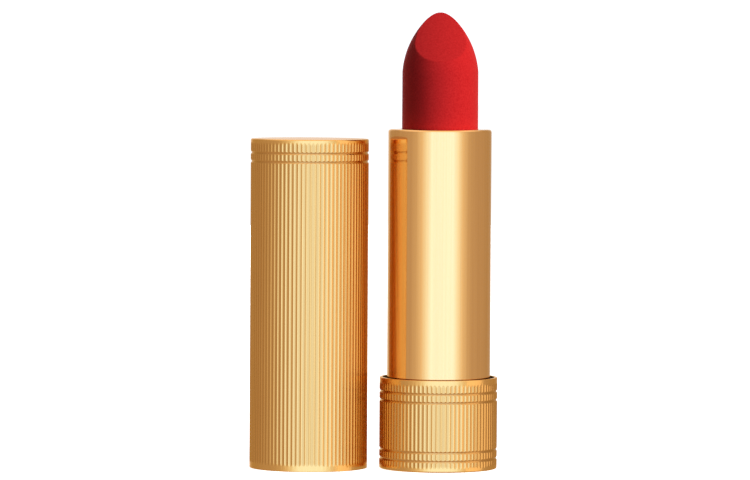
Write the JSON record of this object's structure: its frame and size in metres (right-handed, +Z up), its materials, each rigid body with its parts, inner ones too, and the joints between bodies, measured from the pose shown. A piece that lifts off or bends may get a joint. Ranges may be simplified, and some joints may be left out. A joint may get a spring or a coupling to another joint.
{
  "type": "lipstick case",
  "caption": "Twist-up lipstick case with a fluted gold metal cap and base, a smooth sleeve and a raised red bullet; the cap stands beside it.",
  "frame": {"origin": "centre of the base's underside, on the surface that the case stands on", "axes": "+Z up along the case's axis, towards the bullet's tip; the bullet's slanted cut faces -Y; the cap stands beside the case along -X"},
  "size_m": [0.0412, 0.0196, 0.0758],
  "materials": {
    "fluted_gold": "anodised satin gold, fluted",
    "smooth_gold": "anodised satin gold, fine lengthwise brushing",
    "liner_plastic": "moulded, satin",
    "mechanism_plastic": "moulded, natural white",
    "drag_rubber": "silicone, soft",
    "red_wax": "matte velvet lipstick wax",
    "insert_plastic": "moulded, satin",
    "weight_steel": "turned, zinc plated",
    "label_paper": "plain coated paper"
  },
  "bodies": {
    "base": {"base_shell": "fluted_gold", "base_insert": "insert_plastic", "base_weight": "weight_steel", "shade_label": "label_paper", "guide_tube": "mechanism_plastic", "drag_ring": "drag_rubber"},
    "sleeve": {"sleeve": "smooth_gold", "spiral": "mechanism_plastic"},
    "carrier": {"bullet_cup": "mechanism_plastic", "bullet": "red_wax"},
    "cap": {"cap_shell": "fluted_gold", "cap_liner": "liner_plastic"}
  },
  "joints": [
    {"name": "sleeve_turn", "type": "hinge", "parent": "base", "child": "sleeve", "pos_m": [0, 0, 0.03], "axis": [0, 0, 1], "range_deg": [0, 540]},
    {"name": "bullet_rise", "type": "slide", "parent": "base", "child": "carrier", "axis": [0, 0, 1], "range_m": [-0.024, 0]},
    {"name": "cap_lift", "type": "slide", "parent": "base", "child": "cap", "axis": [0, 0, 1], "range_m": [0, 0.06]}
  ],
  "couplings": [
    {"joint": "sleeve_turn", "follows": "bullet_rise", "rad_per_m": -392.7}
  ]
}
